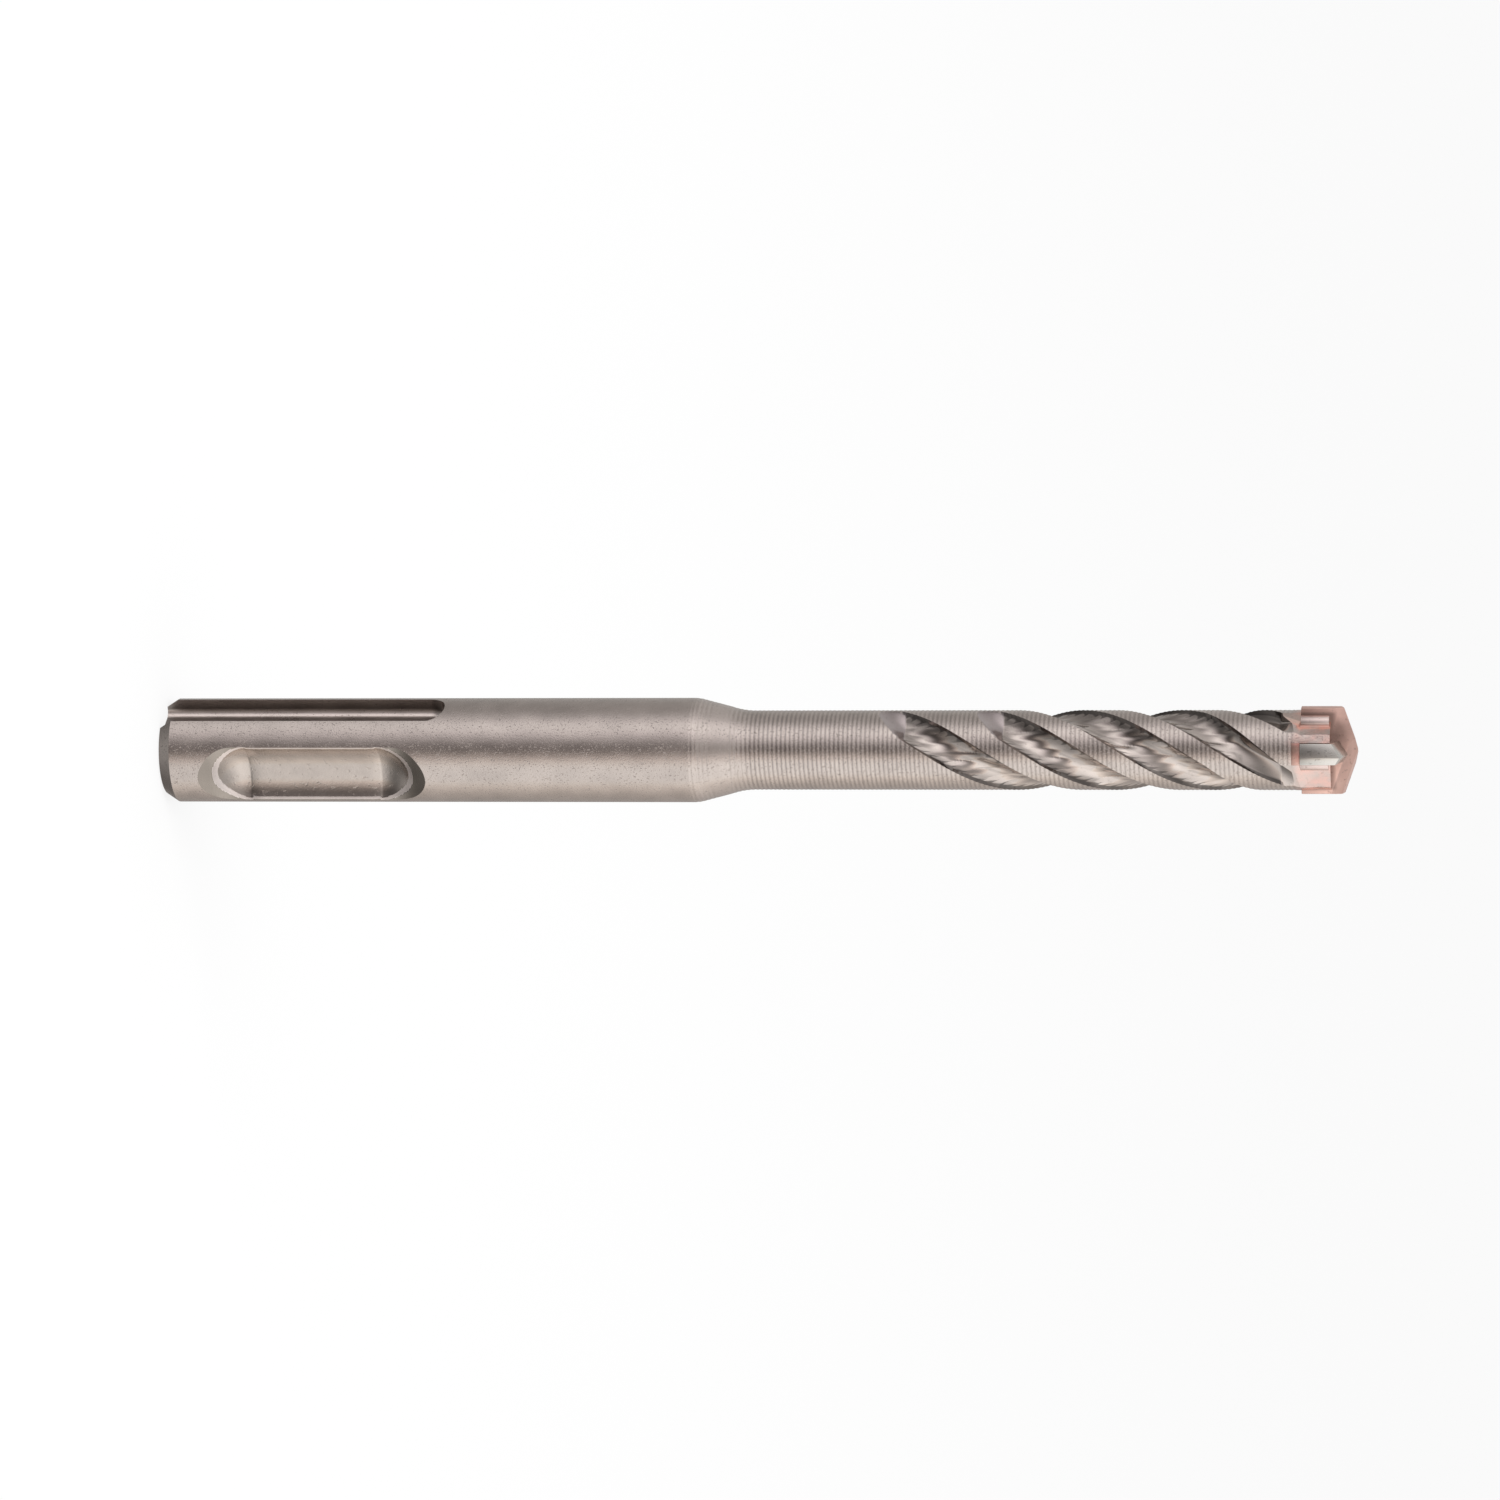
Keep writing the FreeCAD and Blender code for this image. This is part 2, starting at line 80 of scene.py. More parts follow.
# Colour round the bit, by degrees from the camera towards the top of the picture.
SKY_ROUND = (
    (-180, (0.40, 0.38, 0.37)), (-150, (0.40, 0.38, 0.37)), (-112, (0.54, 0.51, 0.48)),
    (-86, (0.92, 0.87, 0.82)),
    (-62, (1.52, 1.42, 1.34)), (-38, (1.44, 1.34, 1.26)), (-18, (0.52, 0.46, 0.44)),
    (-4, (0.15, 0.135, 0.13)), (12, (0.15, 0.135, 0.135)), (28, (0.66, 0.63, 0.65)),
    (48, (1.12, 1.09, 1.11)), (62, (0.98, 0.96, 0.98)), (84, (0.36, 0.35, 0.35)),
    (108, (0.32, 0.31, 0.31)), (150, (0.42, 0.42, 0.41)), (180, (0.50, 0.49, 0.48)),
)
# How much of that shows by degrees above the floor, and the light that is added there.
SKY_SHARE = (
    (-90, 0.0), (-50, 0.05), (-35, 0.30), (-24, 0.62), (-9, 1.02), (4, 1.08), (22, 0.78),
    (46, 0.22), (90, 0.0),
)
SKY_ADDED = (
    (-90, 0.45), (-70, 0.29), (-55, 0.13), (-35, 0.05), (-14, 0.0), (4, 0.11), (20, 0.38), (38, 0.33),
    (60, 0.34), (90, 0.5),
)


def new_nodes(holder):
    """The empty node tree of a material or a world."""
    holder.use_nodes = True
    holder.node_tree.nodes.clear()
    return holder.node_tree


def node(tree, kind, inputs=None, **settings):
    """A node whose sockets are set to values or joined to other nodes' sockets."""
    made = tree.nodes.new(kind)
    for name, setting in settings.items():
        setattr(made, name, setting)
    for name, source in (inputs or {}).items():
        if isinstance(source, bpy.types.NodeSocket):
            tree.links.new(source, made.inputs[name])
        else:
            made.inputs[name].default_value = source
    return made


def math_node(tree, operation, first, second=0.0, third=0.0):
    """The number that an operation makes of up to three numbers."""
    inputs = {0: first, 1: second, 2: third}
    return node(tree, "ShaderNodeMath", inputs, operation=operation).outputs[0]


def mix_colour(tree, share, first, second, blend="MIX"):
    """The first colour with a share of the second laid over it."""
    return node(tree, "ShaderNodeMix", {"Factor": share, 6: first, 7: second},
                data_type="RGBA", blend_type=blend).outputs[2]


def turned_parts(tree, vector, angle):
    """The X, Y and Z of a vector that is turned about the Z axis."""
    turned = node(tree, "ShaderNodeVectorRotate", {"Vector": vector, "Angle": angle},
                  rotation_type="Z_AXIS")
    return node(tree, "ShaderNodeSeparateXYZ", {"Vector": turned.outputs[0]}).outputs


def ramp(tree, source, stops, interpolation="LINEAR"):
    """A colour ramp through stops of position and grey level or colour."""
    made = node(tree, "ShaderNodeValToRGB", {"Fac": source})
    made.color_ramp.interpolation = interpolation
    elements = made.color_ramp.elements
    while len(elements) < len(stops):
        elements.new(0.5)
    for element, (place, level) in zip(elements, stops):
        element.position = place
        element.color = (*level, 1) if isinstance(level, tuple) else (level, level, level, 1)
    return made.outputs["Color"]


def ramp_by_angle(tree, share, stops, reach):
    """A smooth ramp whose stops are given in degrees, from minus the reach to the reach."""
    placed = [((angle + reach) / (2 * reach), level) for angle, level in stops]
    return ramp(tree, share, placed, "B_SPLINE")


world = bpy.data.worlds.new("studio")
bpy.context.scene.world = world
tree = new_nodes(world)
look = node(tree, "ShaderNodeTexCoord").outputs["Generated"]
parts = turned_parts(tree, look, -VIEW_TURN)
aside = math_node(tree, "MULTIPLY", parts["Y"], -1.0)
around = math_node(tree, "ARCTAN2", aside, parts["X"])
around_share = math_node(tree, "MULTIPLY_ADD", around, 1 / (2 * math.pi), 0.5)
height = math_node(tree, "ARCSINE", parts["Z"])
height_share = math_node(tree, "MULTIPLY_ADD", height, 1 / math.pi, 0.5)
round_level = ramp_by_angle(tree, around_share, SKY_ROUND, 180)
height_shown = ramp_by_angle(tree, height_share, SKY_SHARE, 90)
height_added = ramp_by_angle(tree, height_share, SKY_ADDED, 90)
banded = mix_colour(tree, 1.0, round_level, height_shown, "MULTIPLY")
reflected = mix_colour(tree, 1.0, banded, height_added, "ADD")
rays = node(tree, "ShaderNodeLightPath").outputs
seen = mix_colour(tree, rays["Is Glossy Ray"], SKY_COLOUR, reflected)
behind = mix_colour(tree, rays["Is Camera Ray"], seen, WHITE)
background = node(tree, "ShaderNodeBackground", {"Color": behind, "Strength": 1.0})
node(tree, "ShaderNodeOutputWorld", {"Surface": background.outputs[0]})


def mesh_object(name, bm, materials=()):
    """An object made of a finished bmesh, which is freed."""
    mesh = bpy.data.meshes.new(name)
    bm.to_mesh(mesh)
    bm.free()
    piece = bpy.data.objects.new(name, mesh)
    bpy.context.scene.collection.objects.link(piece)
    for material in materials:
        mesh.materials.append(material)
    return piece


floor_material = bpy.data.materials.new("pale_floor")
tree = new_nodes(floor_material)
rays = node(tree, "ShaderNodeLightPath").outputs
matte = node(tree, "ShaderNodeBsdfDiffuse", {"Color": FLOOR_COLOUR})
glow = node(tree, "ShaderNodeEmission", {"Color": WHITE, "Strength": 1.0})
seen_white = math_node(tree, "MULTIPLY", rays["Is Camera Ray"], FLOOR_WHITENESS)
surface = node(tree, "ShaderNodeMixShader", {0: seen_white, 1: matte.outputs[0], 2: glow.outputs[0]})
node(tree, "ShaderNodeOutputMaterial", {"Surface": surface.outputs[0]})
bm = bmesh.new()
bmesh.ops.create_grid(bm, x_segments=1, y_segments=1, size=FLOOR_REACH)
floor = mesh_object("floor", bm, [floor_material])
floor.visible_glossy = False

lamp = bpy.data.objects.new("soft_lamp", bpy.data.lights.new("soft_lamp", "AREA"))
bpy.context.scene.collection.objects.link(lamp)
lamp.data.shape = "DISK"
lamp.data.size = LAMP_SIZE
lamp.data.energy = LAMP_POWER
lamp.location = LAMP_PLACE
lamp.rotation_euler = (Vector((0, 0, 0)) - lamp.location).to_track_quat("-Z", "Y").to_euler()
lamp.visible_camera = False
lamp.visible_glossy = False

# Steel body, its bar: one bar of tool steel, turned to a chamfered shank, a taper and a neck, with
# four right-hand flutes milled into the neck. The lathe's rings and the mill's scoops are real
# ridges here. Sizes are in millimetres, and heights count from the striking face.
SHANK_RADIUS = 5.0
SHANK_LENGTH = 52.2
CHAMFER_LENGTH = 1.15
CHAMFER_DEPTH = 0.75
TAPER_LENGTH = 4.5
TAPER_START_ROUND = 3.5
TAPER_END_ROUND = 7.0
NECK_RADIUS = 3.8
JAW_FRONT = 112.5
# The lathe's rings: strong where the taper starts, almost gone on its slope, and full on the neck.
RING_PITCH = 0.425
RING_HEIGHT = 0.019
FIRST_RING = 51.9
TAPER_RINGS_END = 53.9
NECK_RINGS_START = 55.2
NECK_RINGS_GROWTH = 0.6
LAST_RING = 109.2
TAPER_RING_SHARE = 0.7
FAINT_RING_SHARE = 0.1
# The flutes: FLUTE_TURN is where the middle of the first one stands, in degrees, at FLUTE_DATUM.
FLUTE_LEAD = 37.5
FLUTE_TURN = 178.6
FLUTE_DATUM = 108.2
FLUTE_STARTS = (72.2, 81.6, 72.2, 81.6)
FLUTE_STOP = 107.8
FLUTE_START_RUNOUT = 2.9
FLUTE_END_RUNOUT = 2.4
FLUTE_CLIMB = 1.155
FLUTE_FLOOR = 2.75
FLUTE_SHOULDER = 3.45
FLUTE_HALF_WIDTH = 3.07
LEAST_CUT = 0.001
# Near the head the right half of each flute narrows, by this much for each millimetre of height.
NARROWING_START = 100.8
NARROWING = 0.30
NARROWING_MOST = 2.4
# The mill's scoops: each leans its own way across the flute, and takes over from the last in a step.
SCOOP_PITCH = 1.75
SCOOP_DEPTH = 0.05
SCOOP_SWAY = 0.075
SCOOP_BEAT = 2.1
SCOOP_DRIFT = 0.37
SCOOP_STEP = 0.4
SCOOP_FADE = 0.9
SCOOP_MARGIN = 0.2
LAST_SCOOP = 104.3
# The mesh: columns that follow the flutes' twist and rows that are fine from FINE_START on.
FLUTE_COLUMNS = 24
LAND_COLUMNS = 8
COLUMNS = 4 * (FLUTE_COLUMNS + LAND_COLUMNS)
ROWS_PER_RING = 4
SHANK_ROW = 1.0
FINE_START = 51.5
FINE_END = 110.6
GRID_SLACK = 1e-4
MERGE_REACH = 0.0001
# The finishes that a face of the bar may have, in the order of its materials.
TURNED, MILLED, FLUTE, GROOVE, POCKET, RAMP, RIM_HIGHLIGHT, RUNOUT = range(8)

FLUTE_HALF_FLOOR = FLUTE_HALF_WIDTH * 11 / 12
taper_slope = math.atan((SHANK_RADIUS - NECK_RADIUS) / TAPER_LENGTH)
neck_start = SHANK_LENGTH + TAPER_LENGTH
floor_rise = FLUTE_SHOULDER - FLUTE_FLOOR
floor_round = (FLUTE_HALF_FLOOR ** 2 + floor_rise ** 2) / (2 * floor_rise)
wall_slope = (NECK_RADIUS - FLUTE_SHOULDER) / (FLUTE_HALF_WIDTH - FLUTE_HALF_FLOOR)
flute_half_angle = 360 * FLUTE_HALF_WIDTH / FLUTE_LEAD
plain_length = FINE_START - CHAMFER_LENGTH
fine_length = FINE_END - FINE_START
shank_rows = math.ceil(plain_length / SHANK_ROW)
fine_rows = round(fine_length / RING_PITCH * ROWS_PER_RING)
heights = [0.0]
heights += [CHAMFER_LENGTH + plain_length * row / shank_rows for row in range(shank_rows)]
heights += [FINE_START + fine_length * row / fine_rows for row in range(fine_rows + 1)]
heights += [JAW_FRONT]


def bar_radius(z):
    """Radius of the plain turned bar at a height, with both ends of the taper rounded."""
    start_tangent = TAPER_START_ROUND * math.tan(taper_slope / 2)
    end_tangent = TAPER_END_ROUND * math.tan(taper_slope / 2)
    if z < SHANK_LENGTH - start_tangent:
        return SHANK_RADIUS
    if z < SHANK_LENGTH + start_tangent * math.cos(taper_slope):
        along = z - (SHANK_LENGTH - start_tangent)
        return SHANK_RADIUS - TAPER_START_ROUND + math.sqrt(TAPER_START_ROUND ** 2 - along ** 2)
    if z < neck_start - end_tangent * math.cos(taper_slope):
        return SHANK_RADIUS - (z - SHANK_LENGTH) * math.tan(taper_slope)
    if z < neck_start + end_tangent:
        along = neck_start + end_tangent - z
        return NECK_RADIUS + TAPER_END_ROUND - math.sqrt(TAPER_END_ROUND ** 2 - along ** 2)
    return NECK_RADIUS


def ring_share(z):
    """How strongly the lathe's rings show at a height, from 0 to 1."""
    if z < FIRST_RING or z > LAST_RING:
        return 0.0
    if z < TAPER_RINGS_END:
        return TAPER_RING_SHARE
    if z < NECK_RINGS_START:
        return FAINT_RING_SHARE
    return min(1.0, FAINT_RING_SHARE + (z - NECK_RINGS_START) / NECK_RINGS_GROWTH)


def narrowed(z):
    """How much narrower the right half of a flute is at a height, near the head."""
    return min(max(NARROWING * (z - NARROWING_START), 0), NARROWING_MOST)


def scoop_lean(count, number):
    """How far one scoop of the mill leans across its flute."""
    return SCOOP_SWAY * math.sin(SCOOP_BEAT * count + 2 * number) * math.sin(SCOOP_DRIFT * count + 1)


def flute_radius(number, s, h):
    """Radius of one flute's surface, s across it as counted along the bit, in the section at height h."""
    z = h + s
    if s > 0:
        s *= FLUTE_HALF_WIDTH / (FLUTE_HALF_WIDTH - narrowed(z))
    across = abs(s)
    if across < FLUTE_HALF_FLOOR:
        radius = FLUTE_FLOOR + floor_round - math.sqrt(floor_round ** 2 - across ** 2)
    else:
        radius = FLUTE_SHOULDER + (across - FLUTE_HALF_FLOOR) * wall_slope
    start = FLUTE_STARTS[number]
    if z < start:
        radius += FLUTE_CLIMB * (start - z) / FLUTE_START_RUNOUT
    if z > FLUTE_STOP:
        radius += FLUTE_CLIMB * (z - FLUTE_STOP) / FLUTE_END_RUNOUT
    count, share = divmod(h / SCOOP_PITCH, 1.0)
    step = min(share / SCOOP_STEP, 1.0)
    lean = scoop_lean(count - 1, number) * (1 - step) + scoop_lean(count, number) * step
    scooped = min(z - start, FLUTE_HALF_WIDTH - SCOOP_MARGIN - across, LAST_SCOOP - z) / SCOOP_FADE
    hollow = SCOOP_DEPTH * share * (1 - share) * 4
    return radius + (hollow + lean * s) * min(max(scooped, 0), 1)


def body_radius(angle, z):
    """Radius of the bar with its rings and flutes at an angle and a height, and its finish there."""
    ripple = math.cos(2 * math.pi * (z / RING_PITCH - angle / 360)) - 1
    plain = bar_radius(z) + RING_HEIGHT * ring_share(z) * ripple
    if z < FINE_START:
        return plain, TURNED
    from_first = (angle - FLUTE_TURN - 360 * (z - FLUTE_DATUM) / FLUTE_LEAD) % 360
    number = round(from_first / 90) % 4
    s = -((from_first + 45) % 90 - 45) * FLUTE_LEAD / 360
    cut = flute_radius(number, s, z - s)
    if cut > plain - LEAST_CUT:
        return plain, TURNED
    if z < FLUTE_STARTS[number]:
        return cut, RUNOUT
    return cut, FLUTE if z < FLUTE_STOP else MILLED


def column_angle(column, z):
    """Angle of one column of the mesh, less the flutes' twist: columns keep to the flutes' edges."""
    quarter, column = divmod(column, FLUTE_COLUMNS + LAND_COLUMNS)
    slack = flute_half_angle * narrowed(z) / FLUTE_HALF_WIDTH
    if column < FLUTE_COLUMNS / 2:
        across = slack + (flute_half_angle - slack) * column / (FLUTE_COLUMNS / 2)
    elif column < FLUTE_COLUMNS:
        across = 2 * flute_half_angle * column / FLUTE_COLUMNS
    else:
        land = 90 + slack - 2 * flute_half_angle
        across = 2 * flute_half_angle + land * (column - FLUTE_COLUMNS) / LAND_COLUMNS
    first_edge = FLUTE_TURN + 360 * (FINE_START - FLUTE_DATUM) / FLUTE_LEAD - flute_half_angle
    return first_edge + 90 * quarter + across


def grid_place(co):
    """Angle and height that a point of the flat grid takes on the bar."""
    row = (co.y + 1) / 2 * (len(heights) - 1)
    low = min(math.floor(row + GRID_SLACK), len(heights) - 2)
    z = heights[low] + (heights[low + 1] - heights[low]) * (row - low)
    column = (co.x + 1) / 2 * COLUMNS
    left = min(math.floor(column + GRID_SLACK), COLUMNS - 1)
    left_angle = column_angle(left, z)
    angle = left_angle + (column_angle(left + 1, z) - left_angle) * (column - left)
    return angle + 360 * max(z - FINE_START, 0) / FLUTE_LEAD, z


bar = bmesh.new()
bmesh.ops.create_grid(bar, x_segments=COLUMNS, y_segments=len(heights) - 1, size=1.0)
for face in bar.faces:
    face.material_index = body_radius(*grid_place(face.calc_center_median()))[1]
for v in bar.verts:
    angle, z = grid_place(v.co)
    radius = body_radius(angle, z)[0]
    if z < CHAMFER_LENGTH:
        radius = SHANK_RADIUS - CHAMFER_DEPTH
    turn = math.radians(angle)
    v.co = Vector((radius * math.cos(turn), radius * math.sin(turn), z)) * MM
bmesh.ops.remove_doubles(bar, verts=bar.verts[:], dist=MERGE_REACH * MM)
bmesh.ops.holes_fill(bar, edges=bar.edges[:], sides=COLUMNS)
bmesh.ops.recalc_face_normals(bar, faces=bar.faces[:])

# Steel body, its finishes: heat treatment and blasting leave the shank dull and finely pitted. The
# milled channels are brighter and smoother, with painted shade along the flutes' edges, and at
# the head the copper of the braze tints the steel in patches.
STEEL_COLOUR = (0.64, 0.565, 0.52)
GROOVE_COLOUR = (0.60, 0.53, 0.49)
POCKET_COLOUR = (0.60, 0.53, 0.48)
# The recesses' ramps are coloured darker than the shank: painted shade.
RAMP_SHADE_COLOUR = (0.38, 0.335, 0.295)
# The recesses' bevelled rims are coloured almost white: a painted highlight.
RIM_HIGHLIGHT_COLOUR = (0.95, 0.86, 0.82)
RUNOUT_COLOUR = (0.48, 0.42, 0.41)
COPPER_COLOUR = (0.82, 0.53, 0.46)
PIT_COLOUR = (0.10, 0.075, 0.06, 1)
# Pits, blotches and smears are drawn out along the bit. A scale counts the clouds in each metre.
DRAWN_OUT = (1.0, 1.0, 0.8)
BLOTCH_SCALE = 520.0
BLOTCH_START = 0.3
BLOTCH_END = 0.7
BLOTCH_DARK = 0.89
BLOTCH_LIGHT = 1.06
SMEAR_SCALE = 900.0
ROUGHNESS_SPREAD = 0.16
TINT_START = 108.4 * MM
TINT_FULL = 109.8 * MM
TINT_RAGGED = 3.6 * MM
TINT_PATCHES = [(0.36, 0.15), (0.50, 0.5), (0.64, 0.9)]
PIT_STOPS = [(0.0, 1.0), (0.30, 1.0), (0.40, 0.0), (1.0, 0.0)]
PIT_RELIEF = 0.8
# The painted light and shade of a drive groove, from its floor's corner to the shank's surface: a painted
# highlight near the corner, painted shade on the walls.
GROOVE_FLOOR = 3.0
GROOVE_PAINTED_TONES = [
    (0.0, 0.75), (0.006, 1.0), (0.03, 1.6), (0.15, 1.5),
    (0.30, 0.42), (0.55, 0.62), (0.8, 0.85), (1.0, 1.3),
]
# Painted reflections on the flutes: patches of light and dark, one row for each scoop, which end in one
# tone near the head.
FACET_SCALE = 0.7
FACET_STRETCH = 0.9
FACET_REFLECTION_TONES = [(0.30, 0.70), (0.44, 0.82), (0.50, 1.0), (0.70, 1.12)]
SMOOTH_START = 102.6
SMOOTH_FULL = 104.2
SMOOTH_TONE = 0.72
# Painted shade along the flutes' edges, with ragged teeth.
EDGE_SHADE_WIDTH = 0.32
EDGE_SHADE_TONE = 0.45
EDGE_SHADE_SOLID = 0.7
TOOTH_PITCH = 0.9
TOOTH_REACH = 1.7
TOOTH_SHARPNESS = 3.0
TOOTH_SCALE = 700.0


def noise(tree, place, scale, detail, roughness=0.5):
    """A cloudy pattern of numbers about a half."""
    inputs = {"Vector": place, "Scale": scale, "Detail": detail, "Roughness": roughness}
    return node(tree, "ShaderNodeTexNoise", inputs).outputs["Fac"]


def map_range(tree, value, low, high, at_low=0.0, at_high=1.0):
    """A number that goes from at_low to at_high while the value goes from low to high."""
    inputs = {"Value": value, "From Min": low, "From Max": high, "To Min": at_low, "To Max": at_high}
    return node(tree, "ShaderNodeMapRange", inputs).outputs[0]


def object_place(tree):
    """The place on the piece that is shaded."""
    return node(tree, "ShaderNodeTexCoord").outputs["Object"]


def split(tree, vector):
    """The X, Y and Z of a vector."""
    return node(tree, "ShaderNodeSeparateXYZ", {"Vector": vector}).outputs


grain = bpy.data.node_groups.new("metal_grain", "ShaderNodeTree")
for label in ("Pit scale", "Grain scale"):
    grain.interface.new_socket(label, in_out="INPUT", socket_type="NodeSocketFloat")
for label in ("Pits", "Blotches", "Smears", "Height"):
    grain.interface.new_socket(label, in_out="OUTPUT", socket_type="NodeSocketFloat")
scales = node(grain, "NodeGroupInput").outputs
place = object_place(grain)
drawn = node(grain, "ShaderNodeMapping", {"Vector": place, "Scale": DRAWN_OUT}).outputs[0]
pits = ramp(grain, noise(grain, drawn, scales["Pit scale"], detail=3.0, roughness=0.6), PIT_STOPS)
fine = noise(grain, place, scales["Grain scale"], detail=4.0, roughness=0.65)
node(grain, "NodeGroupOutput", {
    "Pits": pits,
    "Blotches": noise(grain, drawn, BLOTCH_SCALE, detail=6.0),
    "Smears": noise(grain, drawn, SMEAR_SCALE, detail=3.0),
    "Height": math_node(grain, "MULTIPLY_ADD", pits, -PIT_RELIEF, fine),
})


def metal(name, colour, roughness, pit_scale, grain_scale, relief, pit_dark, tint=None, painted_light_and_shade=None):
    """A satin metal with pits, blotches and a fine relief, whose depth is in millimetres.

    tint is a colour laid in patches over the bit's front end. The last argument adds a pattern of painted
    light and shade to the node tree and gives its lightness, which multiplies the colour.
    """
    material = bpy.data.materials.new(name)
    tree = new_nodes(material)
    worn = node(tree, "ShaderNodeGroup", {"Pit scale": pit_scale, "Grain scale": grain_scale},
                node_tree=grain).outputs
    dark = tuple(channel * BLOTCH_DARK for channel in colour)
    light = tuple(min(channel * BLOTCH_LIGHT, 1.0) for channel in colour)
    base = ramp(tree, worn["Blotches"], [(BLOTCH_START, dark), (BLOTCH_END, light)])
    if tint:
        ragged = math_node(tree, "MULTIPLY_ADD", worn["Blotches"], TINT_RAGGED, -TINT_RAGGED / 2)
        height = math_node(tree, "ADD", split(tree, object_place(tree))["Z"], ragged)
        patches = ramp(tree, worn["Smears"], TINT_PATCHES)
        tinted = math_node(tree, "MULTIPLY", map_range(tree, height, TINT_START, TINT_FULL), patches)
        base = mix_colour(tree, tinted, base, (*tint, 1))
    base = mix_colour(tree, math_node(tree, "MULTIPLY", worn["Pits"], pit_dark), base, PIT_COLOUR)
    # Painted light and shade multiply the colour here.
    if painted_light_and_shade:
        base = mix_colour(tree, 1.0, base, painted_light_and_shade(tree), "MULTIPLY")
    rough = math_node(tree, "MULTIPLY_ADD", worn["Blotches"], ROUGHNESS_SPREAD,
                      roughness - ROUGHNESS_SPREAD / 2)
    bump = node(tree, "ShaderNodeBump", {
        "Strength": 1.0, "Distance": relief * MM, "Height": worn["Height"]})
    shader = node(tree, "ShaderNodeBsdfPrincipled", {
        "Base Color": base, "Metallic": 1.0, "Roughness": rough, "Normal": bump.outputs[0]})
    node(tree, "ShaderNodeOutputMaterial", {"Surface": shader.outputs[0]})
    return material


def groove_shade_and_highlight(tree):
    """Lightness of a drive groove: a painted highlight at its floor's corner, painted shade low on its
    walls, lighter again towards the shank's surface.
    """
    depth = math_node(tree, "ABSOLUTE", split(tree, object_place(tree))["X"])
    return ramp(tree, map_range(tree, depth, GROOVE_FLOOR * MM, SHANK_RADIUS * MM), GROOVE_PAINTED_TONES)


def flute_reflections_and_shade(tree):
    """Lightness of a flute: painted reflections in patches along the mill's scoops, and painted shade with
    ragged teeth at its edges.
    """
    place = object_place(tree)
    parts = split(tree, place)
    angle = math_node(tree, "ARCTAN2", parts["Y"], parts["X"])
    z = math_node(tree, "DIVIDE", parts["Z"], MM)
    turned = math_node(tree, "MULTIPLY_ADD", angle, -FLUTE_LEAD / (2 * math.pi),
                       FLUTE_TURN * FLUTE_LEAD / 360 - FLUTE_DATUM)
    s = math_node(tree, "WRAP", math_node(tree, "ADD", turned, z), FLUTE_LEAD / 8, -FLUTE_LEAD / 8)
    h = math_node(tree, "SUBTRACT", z, s)
    scoop = node(tree, "ShaderNodeCombineXYZ", {
        "X": math_node(tree, "FLOOR", math_node(tree, "DIVIDE", h, SCOOP_PITCH)),
        "Y": math_node(tree, "MULTIPLY", s, FACET_STRETCH),
        "Z": math_node(tree, "SIGN", parts["X"]),
    }).outputs[0]
    facets = ramp(tree, noise(tree, scoop, FACET_SCALE, detail=1.0), FACET_REFLECTION_TONES)
    smooth = map_range(tree, z, SMOOTH_START, SMOOTH_FULL)
    facets = mix_colour(tree, smooth, facets, (SMOOTH_TONE, SMOOTH_TONE, SMOOTH_TONE, 1))
    wander = noise(tree, place, TOOTH_SCALE, detail=2.0)
    tooth = math_node(tree, "FRACT", math_node(tree, "MULTIPLY_ADD", h, 1 / TOOTH_PITCH, wander))
    tooth = math_node(tree, "MULTIPLY", math_node(tree, "POWER", tooth, TOOTH_SHARPNESS), wander)
    tooth_length = math_node(tree, "MULTIPLY_ADD", smooth, -TOOTH_REACH, TOOTH_REACH)
    reach = math_node(tree, "MULTIPLY_ADD", tooth, tooth_length, EDGE_SHADE_WIDTH)
    right_edge = map_range(tree, z, NARROWING_START, NARROWING_START + NARROWING_MOST / NARROWING,
                           FLUTE_HALF_WIDTH, FLUTE_HALF_WIDTH - NARROWING_MOST)
    inside = math_node(tree, "MINIMUM", math_node(tree, "ADD", s, FLUTE_HALF_WIDTH),
                       math_node(tree, "SUBTRACT", right_edge, s))
    # Painted shade: the flute darkens towards its edges.
    clear = map_range(tree, math_node(tree, "DIVIDE", inside, reach), EDGE_SHADE_SOLID, 1.0, EDGE_SHADE_TONE, 1.0)
    return mix_colour(tree, 1.0, facets, clear, "MULTIPLY")


turned_steel = metal("turned_steel", STEEL_COLOUR, roughness=0.24, pit_scale=6500.0, grain_scale=6500.0,
                     relief=0.014, pit_dark=0.25, tint=COPPER_COLOUR)
milled_steel = metal("milled_steel", STEEL_COLOUR, roughness=0.12, pit_scale=2600.0, grain_scale=6000.0,
                     relief=0.003, pit_dark=0.15, tint=COPPER_COLOUR)
flute_steel = metal("flute_steel", STEEL_COLOUR, roughness=0.12, pit_scale=2600.0, grain_scale=6000.0,
                    relief=0.003, pit_dark=0.15, painted_light_and_shade=flute_reflections_and_shade)
groove_steel = metal("groove_steel", GROOVE_COLOUR, roughness=0.30, pit_scale=6000.0, grain_scale=7000.0,
                     relief=0.010, pit_dark=0.4, painted_light_and_shade=groove_shade_and_highlight)
pocket_steel = metal("pocket_steel", POCKET_COLOUR, roughness=0.16, pit_scale=2600.0, grain_scale=2600.0,
                     relief=0.013, pit_dark=0.05)
ramp_steel = metal("ramp_steel", RAMP_SHADE_COLOUR, roughness=0.26, pit_scale=5000.0, grain_scale=6000.0,
                   relief=0.006, pit_dark=0.1)
rim_highlight_steel = metal("rim_highlight_steel", RIM_HIGHLIGHT_COLOUR, roughness=0.50, pit_scale=5000.0, grain_scale=6000.0,
                   relief=0.003, pit_dark=0.1)
